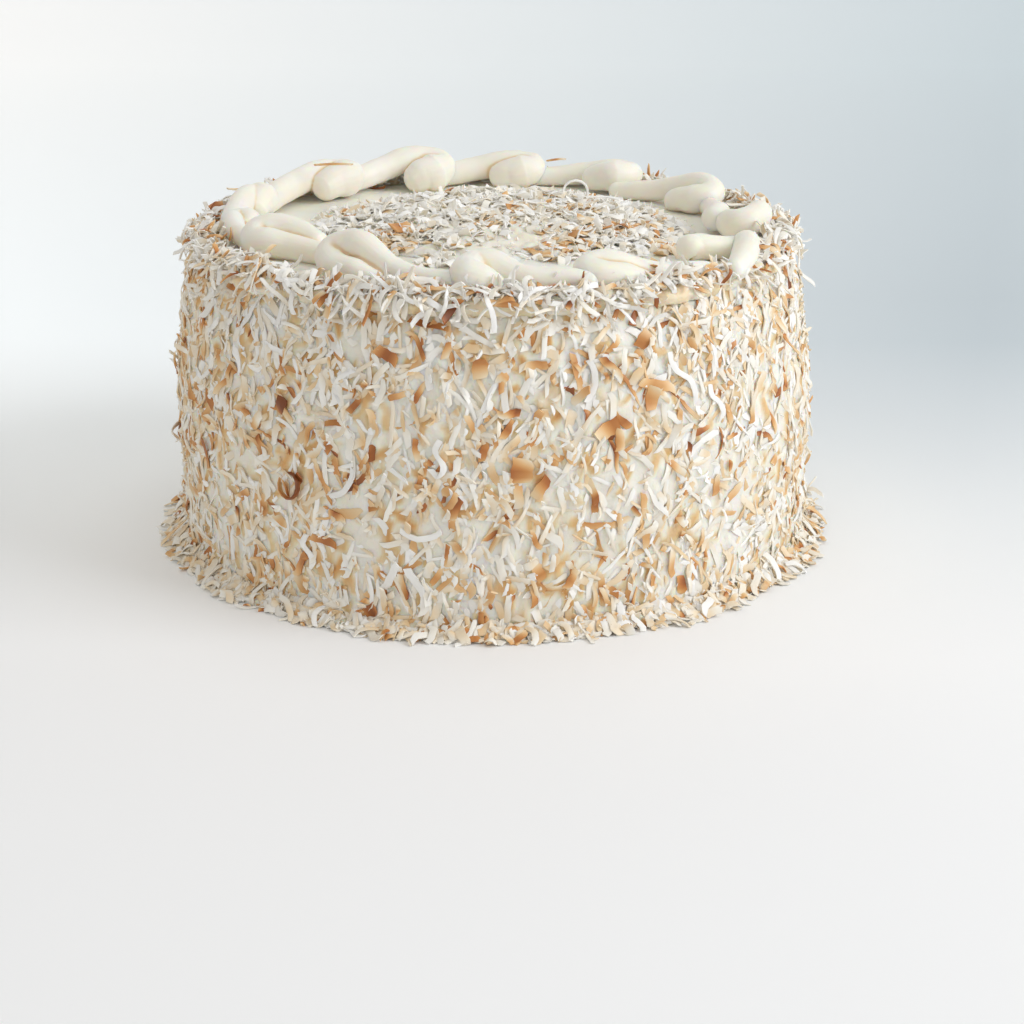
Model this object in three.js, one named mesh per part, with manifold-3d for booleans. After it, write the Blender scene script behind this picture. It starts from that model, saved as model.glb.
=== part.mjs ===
// Italian cream cake: a round, three-layer-high cake in soft white frosting. Shredded coconut
// coats its side and rim and spreads into a skirt at the foot, a low heap of coconut covers the
// middle of the top, and a border of piped curls runs round the top between the two.
//
// Millimetres, +Z up. The origin is the centre of the flat bottom.

import * as THREE from "three";
import { mergeVertices } from "three/addons/utils/BufferGeometryUtils.js";
import Module from "manifold-3d";

const wasm = await Module();
wasm.setup();

// Frosted cake
const cakeHeight = 95;
const footRadius = 100.6;
const bellyHeight = 42;
const waistRadius = 98;
const waistHeight = 70;
const shoulderRadius = 95;
const shoulderHeight = 86.5;
const topRadius = 89;
const sideWobble = 0.8;

// Coconut on the side and the rim
const coatRadius = 103.6;
const coatWaistRadius = 101.2;
const coatShoulderRadius = 98.4;
const coatInnerEdge = 91.2;
const rimHeight = 98;
const rimClump = 1.8;
const skirtRadius = 109.6;
const skirtEdge = 0.9;
const skirtHeight = 13;
const clumpDepth = 1.3;

// Coconut heap on the top
const moundRadius = 60;
const moundHeight = 4.4;
const moundEdge = 0.8;
const moundDrift = 2.4;
const moundSlope = 0.7;
const moundRelief = 0.5;
const moundBump = 8;

// Piped border. Every curl is one soft rope of frosting: its hook lies beside the head, turns
// back over itself there and runs on as the stem into a thin tail. Angles are in degrees.
const usualCurl = {
  ring: 80, // distance of the head from the cake's middle
  yaw: 0, // how far the stem turns outwards from the ring
  reach: 34, // head to the end of the tail
  hook: 11, // length of the hook
  hookLift: 4.5, // height of its middle over the cake's top
  lean: 5, // how far the turn reaches back from the head
  spread: 7, // hook to stem, side by side
  crest: 7, // height of the stem's middle at the head
  crestAt: 0.12, // share of the reach at which it is that high
  rope: 4.3, // radius at the head
  tail: 3.2, // radius at the tail
  fold: 1, // 1 with the hook outside, -1 with it inside
  fall: 0.62, // share of the reach at which the stem is down
  tip: 0.55, // radius of the hook's end, of the rope's
  plump: 1, // radius of the hook, of the rope's
  closing: 0, // how far the hook's end bends back to the stem
  veer: 0, // how far the tail bends away from the hook
};

// Where each head lies (degrees from +X, counter-clockwise) and what differs from the usual curl
const curls = [
  {
    heading: -153, ring: 76, yaw: -32, reach: 30, hook: 18, hookLift: 7.0, lean: 3, spread: 7.2,
    crest: 4.8, fold: -1, rope: 4.7, tip: 0.7, closing: 0.45, plump: 1.1, veer: 9,
  },
  {
    heading: -123, ring: 76, yaw: 14, reach: 38, hook: 15, hookLift: 4.3, lean: 6, spread: 6.5,
    crest: 9.3, crestAt: 0.09, rope: 4.5, fall: 0.5,
  },
  {
    heading: -92.5, yaw: 14, reach: 29, hook: 5, hookLift: 4.6, lean: 2, spread: 9, crest: 6.2,
    crestAt: 0.04, rope: 5.2, tail: 3.6, tip: 0.8, fall: 0.38, plump: 1.1,
  },
  {
    heading: -68, ring: 83, yaw: 10, reach: 32, lean: 4, spread: 5, crest: 6.3, crestAt: 0.08,
    rope: 4.4, tail: 2.8, fall: 0.5,
  },
  {
    heading: -37, ring: 74, yaw: 36, reach: 17, hook: 1, lean: 1, spread: 1, crest: 4.6, rope: 4.0,
    tail: 3.4,
  },
  {
    heading: -32, ring: 88, yaw: 158, reach: 18, hook: 0, lean: 9, spread: 0, crest: 5.8,
    rope: 4.2,
  },
  {
    heading: -6, ring: 79, yaw: 10, reach: 16, hook: 3, lean: 7, spread: 8, fold: -1, rope: 4.6,
    tail: 3.6,
  },
  {
    heading: -3, ring: 70, yaw: 10, reach: 30, hook: 0, lean: 1, spread: 1, crest: 5.6, fold: -1,
    rope: 4.1,
  },
  {
    heading: 26, ring: 76, yaw: -12, reach: 36, hook: 11, spread: 9, crest: 7.2, fold: -1,
    rope: 4.2, tip: 0.9, plump: 1.15,
  },
  {
    heading: 56, reach: 38, hook: 8, hookLift: 6.4, lean: 4, spread: 8, crest: 6.5, fold: -1,
    plump: 1.3, tip: 1.0,
  },
  {
    heading: 84, hook: 6, hookLift: 5.5, lean: 5, spread: 5, crest: 7.6, fold: -1, rope: 4.7,
    plump: 1.25, tip: 1.0,
  },
  {
    heading: 107, reach: 36, hook: 3, hookLift: 5.2, lean: 6, spread: 7.5, crest: 9, fold: -1,
    rope: 4.7, plump: 1.4, tip: 1.05,
  },
  {
    heading: 132, reach: 42, hook: 9, hookLift: 6, lean: 5, spread: 6, crest: 7.8, fold: -1,
    rope: 4.7, tail: 4.0, plump: 1.4, tip: 1.1,
  },
  {
    heading: 162, ring: 82, reach: 32, hook: 4, hookLift: 5.5, lean: 4, spread: 4, crest: 6.5,
    fold: -1, plump: 1.25, tip: 1.0,
  },
  { heading: 186, ring: 82, reach: 24, hook: 4, lean: 3, crest: 5, fold: -1, rope: 3.8 },
];

// Where a tail ends, as a share of the reach: what is left of it lies in the next head
const tailShare = 0.85;

// Gap that keeps pieces that lie on each other apart
const seam = 0.3;

// How finely the shapes are faceted
const turns = 50;
const sideSteps = 7;
const coatSteps = 9;
const moundSteps = 3;
const ropeSides = 7;
const stemSteps = 7;
const hookSteps = 3;
const ropeCapSteps = 2;

const frosting = { color: 0xf1ead8, roughness: 0.55, metalness: 0 };
const coconut = { color: 0xe2d2b4, roughness: 0.85, metalness: 0 };
const piping = { color: 0xf3eedd, roughness: 0.45, metalness: 0 };

// Smooth unevenness between -1 and 1, the same for the same place on the cake.
function uneven(angle, height) {
  const broad = Math.sin(3 * angle + 0.04 * height + 0.6);
  const medium = Math.sin(7 * angle - 0.09 * height + 2.1);
  return 0.6 * broad + 0.4 * medium;
}

// Shorter lumps, for what is heaped from many shreds.
function clumps(angle, height) {
  const first = Math.sin(13 * angle + 0.21 * height + 1.3);
  const second = Math.sin(9 * angle - 0.33 * height + 4.2);
  const third = Math.sin(23 * angle + 0.12 * height);
  return 0.4 * first + 0.35 * second + 0.25 * third;
}

// One closed geometry: shared corners are merged, and triangles without area are dropped.
function closed(geometry) {
  geometry.deleteAttribute("normal");
  geometry.deleteAttribute("uv");
  const merged = mergeVertices(geometry, 1e-4);
  const corners = merged.index.array;
  const kept = [];
  for (let i = 0; i < corners.length; i += 3) {
    const [a, b, c] = corners.slice(i, i + 3);
    if (a !== b && b !== c && c !== a) {
      kept.push(a, b, c);
    }
  }
  merged.setIndex(kept);
  return merged;
}

function solidOf(geometry) {
  const merged = closed(geometry);
  const vertProperties = new Float32Array(merged.attributes.position.array);
  const triVerts = new Uint32Array(merged.index.array);
  return new wasm.Manifold(new wasm.Mesh({ numProp: 3, vertProperties, triVerts }));
}

function geometryOf(solid) {
  const { vertProperties, triVerts } = solid.getMesh();
  const geometry = new THREE.BufferGeometry();
  geometry.setAttribute("position", new THREE.BufferAttribute(vertProperties, 3));
  geometry.setIndex(new THREE.BufferAttribute(triVerts, 1));
  return geometry;
}

// A profile of (radius, height) points turned about Z. unevenly takes a point of the profile, the
// angle it is turned to and its place in the profile, and gives its radius and height there.
function turned(profile, unevenly) {
  const geometry = new THREE.LatheGeometry(profile, turns).rotateX(Math.PI / 2);
  const corners = geometry.attributes.position;
  for (let i = 0; i < corners.count; i += 1) {
    const order = i % profile.length;
    const angle = Math.atan2(corners.getY(i), corners.getX(i));
    const [radius, height] = unevenly(profile[order], angle, order);
    corners.setXYZ(i, radius * Math.cos(angle), radius * Math.sin(angle), height);
  }
  return closed(geometry);
}

// The frosting's side, from the foot up over the round shoulder to the edge of the flat top.
function sideLine() {
  const line = new THREE.SplineCurve([
    new THREE.Vector2(footRadius, 0),
    new THREE.Vector2(footRadius, bellyHeight),
    new THREE.Vector2(waistRadius, waistHeight),
    new THREE.Vector2(shoulderRadius, shoulderHeight),
    new THREE.Vector2(topRadius, cakeHeight),
  ]);
  return line.getPoints(sideSteps);
}

function frostedCake() {
  const profile = [new THREE.Vector2(0, 0), ...sideLine(), new THREE.Vector2(0, cakeHeight)];
  return turned(profile, (point, angle) => {
    const swell = point.x > 0 ? sideWobble * uneven(angle, point.y) : 0;
    return [point.x + swell, point.y];
  });
}

// The coat's inner face follows the frosting at the seam's distance. Its outer face is lumpy.
function coconutCoat() {
  const inner = sideLine()
    .filter((point) => point.x > coatInnerEdge)
    .map((point) => new THREE.Vector2(point.x + seam, point.y === 0 ? 0 : point.y + seam));
  const outer = new THREE.SplineCurve([
    new THREE.Vector2(coatInnerEdge, rimHeight),
    new THREE.Vector2(coatShoulderRadius, shoulderHeight),
    new THREE.Vector2(coatWaistRadius, waistHeight),
    new THREE.Vector2(coatRadius, bellyHeight),
    new THREE.Vector2(coatRadius, skirtHeight),
    new THREE.Vector2(skirtRadius, skirtEdge),
  ]).getPoints(coatSteps);
  const foot = new THREE.Vector2(skirtRadius, 0);
  const profile = [inner[0], foot, ...outer.reverse(), ...inner.reverse()];
  return turned(profile, (point, angle, order) => {
    const level = Math.max(point.y, skirtEdge);
    const swell = sideWobble * uneven(angle, point.y);
    if (order === 0 || order > outer.length + 1) {
      return [point.x + swell, point.y];
    }
    const lump = clumpDepth * clumps(angle, level);
    const rise = point.y > shoulderHeight ? rimClump * clumps(angle, 0) : 0;
    return [point.x + swell + lump, point.y + rise];
  });
}

function coconutMound() {
  const floor = cakeHeight + seam;
  const crown = new THREE.SplineCurve([
    new THREE.Vector2(moundRadius, floor + moundEdge),
    new THREE.Vector2(moundSlope * moundRadius, floor + moundSlope * moundHeight),
    new THREE.Vector2(0, floor + moundHeight),
  ]).getPoints(moundSteps);
  const profile = [new THREE.Vector2(0, floor), new THREE.Vector2(moundRadius, floor), ...crown];
  return turned(profile, (point, angle) => {
    const radius = point.x + moundDrift * uneven(angle, 0) * (point.x / moundRadius);
    const bump = Math.sin((radius * Math.cos(angle)) / moundBump + 1);
    const dip = Math.sin((radius * Math.sin(angle)) / moundBump + 2);
    const relief = point.y > floor ? moundRelief * bump * dip : 0;
    return [radius, point.y + relief];
  });
}

// The rope's path in stations: the distance along the stem, the distance aside towards the hook,
// the lift of the rope's middle above the cake's top, and the rope's radius.
function ropePath(curl) {
  const { hook, spread, lean, reach, crest, tail, rope, hookLift, fall, plump, veer } = curl;
  const liftAt = (rise) => blend(tail, crest, rise);
  const station = (along, aside, lift, radius) => ({ along, aside, lift, radius });
  const turn = station(-lean, 0, (hookLift + crest) / 2, rope);
  const hookPath = [
    station(hook, (0.6 - curl.closing) * spread, hookLift - 1.5, curl.tip * rope),
    station(0.55 * hook, 0.6 * spread, hookLift - 0.6, 0.85 * plump * rope),
    station(-0.3 * lean, 0.5 * spread, hookLift, plump * rope),
    turn,
  ];
  const stemPath = [
    turn,
    station(-0.3 * lean, -0.45 * spread, 0.95 * crest, rope),
    station(curl.crestAt * reach, -0.5 * spread, crest, 0.98 * rope),
    station(0.58 * fall * reach, -0.42 * spread, liftAt(0.55), blend(tail, rope, 0.65)),
    station(fall * reach, -0.2 * spread - 0.3 * veer, liftAt(0.15), blend(tail, rope, 0.3)),
    station(0.5 * (fall + tailShare) * reach, -0.1 * spread - 0.7 * veer, tail, tail),
    station(tailShare * reach, -veer, tail - 0.3, 0.9 * tail),
  ];
  return [hookPath, stemPath];
}

function blend(from, to, share) {
  return THREE.MathUtils.lerp(from, to, share);
}

// A strand of the rope: a capsule bent along a path and flat where it lies on the cake. growth
// makes the strand thicker all round.
function strand(curl, stations, steps, growth) {
  const heading = THREE.MathUtils.degToRad(curl.heading);
  const yaw = THREE.MathUtils.degToRad(curl.yaw);
  const path = new THREE.CatmullRomCurve3(stations.map(({ along, aside, lift }) => {
    const inwards = aside * curl.fold;
    const around = along * Math.cos(yaw) - inwards * Math.sin(yaw);
    const radius = curl.ring + along * Math.sin(yaw) + inwards * Math.cos(yaw);
    const angle = heading + around / curl.ring;
    return new THREE.Vector3(radius * Math.cos(angle), radius * Math.sin(angle), cakeHeight + lift);
  }));
  const girth = new THREE.SplineCurve(
    stations.map(({ radius }, i) => new THREE.Vector2(i, radius)),
  );
  const length = stations.length;
  const capsule = new THREE.CapsuleGeometry(1, length, ropeCapSteps, ropeSides, steps);
  const corners = capsule.attributes.position;
  const zenith = new THREE.Vector3(0, 0, 1);
  const floor = cakeHeight + seam - growth;
  for (let i = 0; i < corners.count; i += 1) {
    const axial = corners.getY(i) + length / 2;
    const onPath = THREE.MathUtils.clamp(axial, 0, length);
    const radius = girth.getPoint(onPath / length).y + growth;
    const tangent = path.getTangent(onPath / length);
    const across = new THREE.Vector3().crossVectors(tangent, zenith).normalize();
    const upward = new THREE.Vector3().crossVectors(across, tangent);
    const corner = path
      .getPoint(onPath / length)
      .addScaledVector(tangent, (axial - onPath) * radius)
      .addScaledVector(across, corners.getX(i) * radius)
      .addScaledVector(upward, corners.getZ(i) * radius);
    corners.setXYZ(i, corner.x, corner.y, Math.max(corner.z, floor));
  }
  return solidOf(capsule);
}

// One curl: the hook and the stem are two strands that meet in the turn, with a crease between.
function rope(curl, growth) {
  const [hookPath, stemPath] = ropePath(curl);
  const hook = strand(curl, hookPath, hookSteps, growth);
  return hook.add(strand(curl, stemPath, stemSteps, growth));
}

// Every curl's tail goes under the next head, and what lies against a curl ends at the seam.
function border() {
  const shapes = curls.map((curl) => ({ ...usualCurl, ...curl }));
  const grown = shapes.map((curl) => rope(curl, seam));
  const count = shapes.length;
  const solids = shapes.map((curl, i) => rope(curl, 0)
    .subtract(grown[(i + 1) % count])
    .subtract(grown[(i + 2) % count]));
  return { solids, grown };
}

function cutBack(geometry, grown) {
  return grown.reduce((solid, curl) => solid.subtract(curl), solidOf(geometry));
}

function piece(name, geometry, look) {
  const mesh = new THREE.Mesh(geometry, new THREE.MeshStandardMaterial(look));
  mesh.name = name;
  return mesh;
}

const cake = new THREE.Group();
const { solids, grown } = border();
cake.add(piece("frosted_cake", frostedCake(), frosting));
cake.add(piece("coconut_coat", geometryOf(cutBack(coconutCoat(), grown)), coconut));
cake.add(piece("coconut_mound", geometryOf(cutBack(coconutMound(), grown)), coconut));
solids.forEach((solid, index) => {
  const number = String(index + 1).padStart(2, "0");
  cake.add(piece(`piped_curl_${number}`, geometryOf(solid), piping));
});

export default cake;
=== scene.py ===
import math

import bpy
import numpy as np
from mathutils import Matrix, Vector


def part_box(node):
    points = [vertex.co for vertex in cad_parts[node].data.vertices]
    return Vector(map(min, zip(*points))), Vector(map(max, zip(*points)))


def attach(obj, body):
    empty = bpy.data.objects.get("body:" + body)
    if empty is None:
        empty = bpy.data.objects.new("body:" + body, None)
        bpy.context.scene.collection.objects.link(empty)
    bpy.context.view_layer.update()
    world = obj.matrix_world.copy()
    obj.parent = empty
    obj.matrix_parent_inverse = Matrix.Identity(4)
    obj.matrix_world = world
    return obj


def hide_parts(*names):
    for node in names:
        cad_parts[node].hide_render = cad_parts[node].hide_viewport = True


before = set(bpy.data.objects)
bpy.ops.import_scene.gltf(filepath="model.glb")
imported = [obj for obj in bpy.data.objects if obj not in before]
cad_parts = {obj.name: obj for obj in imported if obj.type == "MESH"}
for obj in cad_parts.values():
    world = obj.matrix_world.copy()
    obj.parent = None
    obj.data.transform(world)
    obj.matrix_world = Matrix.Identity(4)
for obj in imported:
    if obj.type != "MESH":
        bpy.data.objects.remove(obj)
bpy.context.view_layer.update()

# The cake stands on z = 0, its shown side faces -Y, and everything is in metres.
mm = 0.001
fullTurn = 2 * math.pi
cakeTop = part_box("frosted_cake")[1][2]
print("frame loaded: cake top at", round(cakeTop / mm, 1), "mm")


def paint(red, green, blue):
    # a display colour, 0 to 255, as the linear colour that a shader reads
    steps = [channel / 255 for channel in (red, green, blue)]
    linear = [s / 12.92 if s <= 0.04045 else ((s + 0.055) / 1.055) ** 2.4 for s in steps]
    return (*linear, 1.0)


def deselectAll():
    if bpy.context.object and bpy.context.object.mode != "OBJECT":
        bpy.ops.object.mode_set(mode="OBJECT")
    bpy.ops.object.select_all(action="DESELECT")


def selectOnly(obj):
    deselectAll()
    obj.select_set(True)
    bpy.context.view_layer.objects.active = obj


def applyModifier(obj, kind, **settings):
    selectOnly(obj)
    modifier = obj.modifiers.new(kind.title(), kind)
    for key, value in settings.items():
        setattr(modifier, key, value)
    bpy.ops.object.modifier_apply(modifier=modifier.name)


def getPoints(obj):
    points = np.empty(len(obj.data.vertices) * 3)
    obj.data.vertices.foreach_get("co", points)
    return points.reshape(-1, 3)


def setPoints(obj, points):
    obj.data.vertices.foreach_set("co", points.ravel())
    obj.data.update()


def edit(mode="EDIT"):
    bpy.ops.object.mode_set(mode=mode)


def placeInMesh(obj):
    selectOnly(obj)
    bpy.ops.object.transform_apply(location=True, rotation=True, scale=True)


def lumpy(obj, name, size, strength, depth=2):
    # uneven by a cloud pattern; size and strength in mm
    texture = bpy.data.textures.new(name, "CLOUDS")
    texture.noise_scale = size * mm
    texture.noise_depth = depth
    applyModifier(obj, "DISPLACE", texture=texture, texture_coords="LOCAL", strength=strength * mm,
                  mid_level=0.5)


def refine(obj, kind="SIMPLE"):
    applyModifier(obj, "SUBSURF", levels=2, render_levels=2, subdivision_type=kind)


def finishPiece(obj, material, nodes=(), smooth=True):
    if smooth:
        selectOnly(obj)
        bpy.ops.object.shade_smooth()
    obj.data.materials.clear()
    obj.data.materials.append(material)
    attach(obj, "root")
    if nodes:
        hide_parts(*nodes)


def roundTheMiddle(angle, radius, height):
    # places in metres, and the directions along the ring and out of it
    cos, sin = np.cos(angle), np.sin(angle)
    places = np.stack([radius * cos, radius * sin, height], axis=1) * mm
    return places, np.stack([-sin, cos, 0 * sin], axis=1), heading(angle)


def heading(angle):
    return np.stack([np.cos(angle), np.sin(angle), 0 * angle], axis=1)


def normalised(vectors):
    return vectors / np.linalg.norm(vectors, axis=-1, keepdims=True)


# The same unevenness as the solids have, so that shreds lie where the frosting is.
def uneven(angle, height):
    broad = np.sin(3 * angle + 0.04 * height + 0.6)
    medium = np.sin(7 * angle - 0.09 * height + 2.1)
    return 0.6 * broad + 0.4 * medium


def clumps(angle, height):
    first = np.sin(13 * angle + 0.21 * height + 1.3)
    second = np.sin(9 * angle - 0.33 * height + 4.2)
    third = np.sin(23 * angle + 0.12 * height)
    return 0.4 * first + 0.35 * second + 0.25 * third


frosted = {
    "sideLine": [(100.6, 0), (100.6, 42), (98.0, 70), (95.0, 86.5), (89.0, 95)],  # radius, height in mm
    "wobble": 0.8,
    "segments": 210,
    "sideRings": 27,
    "topRadius": 91.0,
    "topSegments": 96,
    "topRings": 20,
    "topWave": 0.5,
}
# coconut that is pressed in under a film of frosting: relief and a soft tint
pressed = {
    "count": 3600,
    "length": (4, 12),  # mm
    "width": (1.6, 3.4),
    "height": (0.3, 0.95),
    "tanShare": 0.6,
    "bareShare": 0.55,  # how far the patches without coconut are left bare
    "cell": 0.5,
}


def sideCurve(t):
    # the frosting's side from the foot, t = 0, over the shoulder to the flat top, t = 1
    line = np.array(frosted["sideLine"], float)
    last = len(line) - 1
    place = np.clip(np.asarray(t, float), 0, 1) * last
    k = np.minimum(place.astype(int), last - 1)
    w = (place - k)[..., None]
    before = line[np.maximum(k - 1, 0)]
    after = line[np.minimum(k + 2, last)]
    a, b = line[k], line[k + 1]
    slopeA, slopeB = (b - before) / 2, (after - a) / 2
    return ((2 * a - 2 * b + slopeA + slopeB) * w**3
            + (-3 * a + 3 * b - 2 * slopeA - slopeB) * w**2 + slopeA * w + a)


def sideLengths(samples, last=1):
    # t up to the last against the length along the side's line
    t = np.linspace(0, last, samples)
    line = sideCurve(t)
    length = np.concatenate([[0], np.cumsum(np.hypot(*np.diff(line, axis=0).T))])
    return t, length


def atHeight(height, samples):
    ts = np.linspace(0, 1, samples)
    return np.interp(height, sideCurve(ts)[:, 1], ts)


def patchy(angle, height):
    # where the coconut lies thick, near 1, and where bare frosting shows, near 0
    first = np.sin(8 * angle + 0.11 * height + 0.4) * np.sin(0.16 * height - 3 * angle)
    second = np.sin(17 * angle - 0.19 * height + 1.9) * np.sin(0.27 * height + 5 * angle + 1)
    crowd = 0.5 * np.clip((height - 66) / 16, 0, 1) + 0.2 * np.clip((12 - height) / 12, 0, 1)
    return np.clip(0.5 + crowd + 0.45 * first + 0.4 * second, 0, 1)


def browned(angle):
    # share of the toasted coconut: more of it on the left of the shown side than on the right
    return 0.9 + 0.45 * np.cos(angle + math.radians(150))


def pressShreds():
    # stamps every pressed shred on a grid that is unrolled round the side
    rng = np.random.default_rng(7)
    t, length = sideLengths(800)
    girth, tall, cell = fullTurn * 100, length[-1], pressed["cell"]
    columns, rows = int(girth / cell), int(tall / cell)
    relief, tint = np.zeros((rows, columns)), np.zeros((rows, columns))
    for _ in range(pressed["count"]):
        x, y = rng.uniform(0, girth), rng.uniform(0, tall)
        half, wide = rng.uniform(*pressed["length"]) / 2, rng.uniform(*pressed["width"]) / 2
        high, bow = rng.uniform(*pressed["height"]), rng.normal(0, 0.05)
        swing = math.radians(rng.uniform(-90, 90) if rng.random() < 0.4 else rng.normal(0, 28))
        isTan = rng.random() < pressed["tanShare"] * browned(x / 100)
        tan = rng.uniform(0.2, 0.65) if isTan else rng.uniform(0, 0.04)
        bare = 1 - patchy(x / 100, np.interp(y, length, sideCurve(t)[:, 1]))
        if rng.random() < pressed["bareShare"] * bare:
            continue
        near = int((half + 2) / cell)
        i = np.arange(int(y / cell) - near, int(y / cell) + near + 1)
        j = np.arange(int(x / cell) - near, int(x / cell) + near + 1)
        i = i[(i >= 0) & (i < rows)]
        dy, dx = np.meshgrid(i * cell - y, j * cell - x, indexing="ij")
        along = dy * math.cos(swing) + dx * math.sin(swing)
        aside = dx * math.cos(swing) - dy * math.sin(swing) - bow * along**2
        wideHere = wide * (1 + 0.15 * np.sin(1.3 * along + x))
        shape = np.clip(1 - (aside / wideHere) ** 4, 0, 1) * np.clip(1 - (along / half) ** 8, 0, 1)
        window = np.ix_(i, j % columns)
        relief[window] = np.maximum(relief[window], 0.5 * relief[window] + high * shape)
        cover = 0.8 * np.sqrt(shape)
        tint[window] = tint[window] * (1 - cover) + tan * cover
    for field in (relief, tint):
        for axis in (0, 1):
            field[:] = (np.roll(field, 1, axis) + 2 * field + np.roll(field, -1, axis)) / 4
    return relief, tint


def readGrid(field, row, angle):
    rows, columns = field.shape
    column = (angle % fullTurn) / fullTurn * columns
    i, j = np.minimum(row.astype(int), rows - 2), column.astype(int)
    u, v = row - i, column - j
    left, right = j % columns, (j + 1) % columns
    low = field[i, left] * (1 - v) + field[i, right] * v
    high = field[i + 1, left] * (1 - v) + field[i + 1, right] * v
    return low * (1 - u) + high * u


def aheadOnSide(t):
    # radius and height of the side line's direction at t
    return normalised(sideCurve(np.clip(t + 0.01, 0, 1)) - sideCurve(np.clip(t - 0.01, 0, 1)))


def outOfSide(ahead, angle):
    return np.stack([ahead[..., 1] * np.cos(angle), ahead[..., 1] * np.sin(angle), -ahead[..., 0]],
                    axis=-1)


def extrudeRings(line):
    # from the selected ring on, one new ring for each further radius and height
    for (radiusBefore, heightBefore), (radius, height) in zip(line[:-1], line[1:]):
        rise = (height - heightBefore) * mm
        bpy.ops.mesh.extrude_edges_move(TRANSFORM_OT_translate={"value": (0, 0, rise)})
        ratio = radius / radiusBefore
        bpy.ops.transform.resize(value=(ratio, ratio, 1), center_override=(0, 0, 0))


def startRing(name, segments, radius, height, middle=(0, 0)):
    deselectAll()
    bpy.ops.mesh.primitive_circle_add(vertices=segments, radius=radius * mm, fill_type="NOTHING",
                                      location=(middle[0] * mm, middle[1] * mm, height * mm))
    ring = bpy.context.object
    ring.name = name
    placeInMesh(ring)
    edit()
    bpy.ops.mesh.select_all(action="SELECT")
    return ring


def sealMesh():
    bpy.ops.mesh.select_all(action="SELECT")
    bpy.ops.mesh.remove_doubles(threshold=0.001 * mm)
    bpy.ops.mesh.normals_make_consistent(inside=False)
    edit("OBJECT")


# tint is the coconut colour pressed into the frosting, beds and heap core, and painted shade in the
# folds and at the foot of the piping
def storeTint(obj, values):
    attribute = obj.data.attributes.new("tint", "FLOAT", "POINT")
    attribute.data.foreach_set("value", np.asarray(values, np.float32))


def modelFrostedSide(material):
    line = sideCurve(np.linspace(0, 1, frosted["sideRings"]))
    side = startRing("frosted_side", frosted["segments"], 60, 0)
    inner = [(60, 0), (line[0][0], 0)]
    extrudeRings(inner + [tuple(point) for point in line[1:]] + [(84, 94.2)])
    bpy.ops.mesh.edge_face_add()
    sealMesh()
    selectRing(side, lambda co: math.hypot(co.x, co.y) < 60.5 * mm and co.z < 0.1 * mm)
    bpy.ops.mesh.edge_face_add()
    sealMesh()
    refine(side)
    points = getPoints(side)
    radius = np.hypot(points[:, 0], points[:, 1]) / mm
    angle = np.arctan2(points[:, 1], points[:, 0])
    height = points[:, 2] / mm
    # the simple subdivision leaves flats between the rings: every point goes back on the line
    onSkin = radius > 88
    nearest = np.linspace(0, 1, 4 * (frosted["sideRings"] - 1) + 1)
    rough = sideCurve(nearest)
    gap = np.abs(rough[:, 0] - radius[:, None]) + np.abs(rough[:, 1] - height[:, None])
    t = np.where(onSkin, nearest[np.argmin(gap, axis=1)], 0)
    spot = sideCurve(t)
    relief, tint = pressShreds()
    ts, length = sideLengths(800)
    row = np.clip(np.interp(t, ts, length) / length[-1] * len(relief), 0, len(relief) - 1.001)
    rise = readGrid(relief, row, angle)
    ease = np.clip(height / 2, 0, 1)
    ahead = aheadOnSide(t)
    out = spot[:, 0] + frosted["wobble"] * uneven(angle, spot[:, 1]) + rise * ahead[:, 1] * ease
    up = spot[:, 1] - rise * ahead[:, 0] * ease
    skinPoints = np.stack([out * np.cos(angle) * mm, out * np.sin(angle) * mm, up * mm], axis=1)
    setPoints(side, np.where(onSkin[:, None], skinPoints, points))
    storeTint(side, readGrid(tint, row, angle) * onSkin)
    lumpy(side, "spatulaMarks", 8, 1.5)
    lumpy(side, "creamGrain", 2.6, 0.35)
    points = getPoints(side)
    points[:, 2] = np.where(points[:, 2] < 0.6 * mm, 0, points[:, 2])
    setPoints(side, points)
    smooth = np.stack([spot[:, 0] * np.cos(angle), spot[:, 0] * np.sin(angle), spot[:, 1]], axis=1)
    stand = np.sum((points / mm - smooth) * outOfSide(ahead, angle), axis=1)
    around = 4 * frosted["segments"]
    row = np.rint(t[onSkin] * (len(nearest) - 1)).astype(int)
    column = np.rint(angle[onSkin] % fullTurn / fullTurn * around).astype(int)
    skin = np.zeros((len(nearest), around))
    skin[row, column % around] = stand[onSkin]
    finishPiece(side, material, ["frosted_cake"])
    print("frosted side modelled:", len(side.data.polygons), "faces")
    return skin


def settleOnSide(spots):
    # lets every shred follow the lumps of the frosting that it lies on
    x, y, height = spots[..., 0], spots[..., 1], spots[..., 2] / mm
    t = atHeight(height, 600)
    angle = np.arctan2(y, x) % fullTurn
    stand = readGrid(sideSkin, t * (len(sideSkin) - 1), angle)
    stand -= frosted["wobble"] * uneven(angle, height)
    return spots + outOfSide(aheadOnSide(t), angle) * (stand * mm)[..., None]


def selectRing(obj, wanted):
    # leaves the mesh in edit mode with only the wanted border points selected
    edit()
    bpy.ops.mesh.select_mode(type="VERT")
    bpy.ops.mesh.select_all(action="DESELECT")
    edit("OBJECT")
    for vertex in obj.data.vertices:
        vertex.select = wanted(vertex.co)
    edit()


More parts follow.
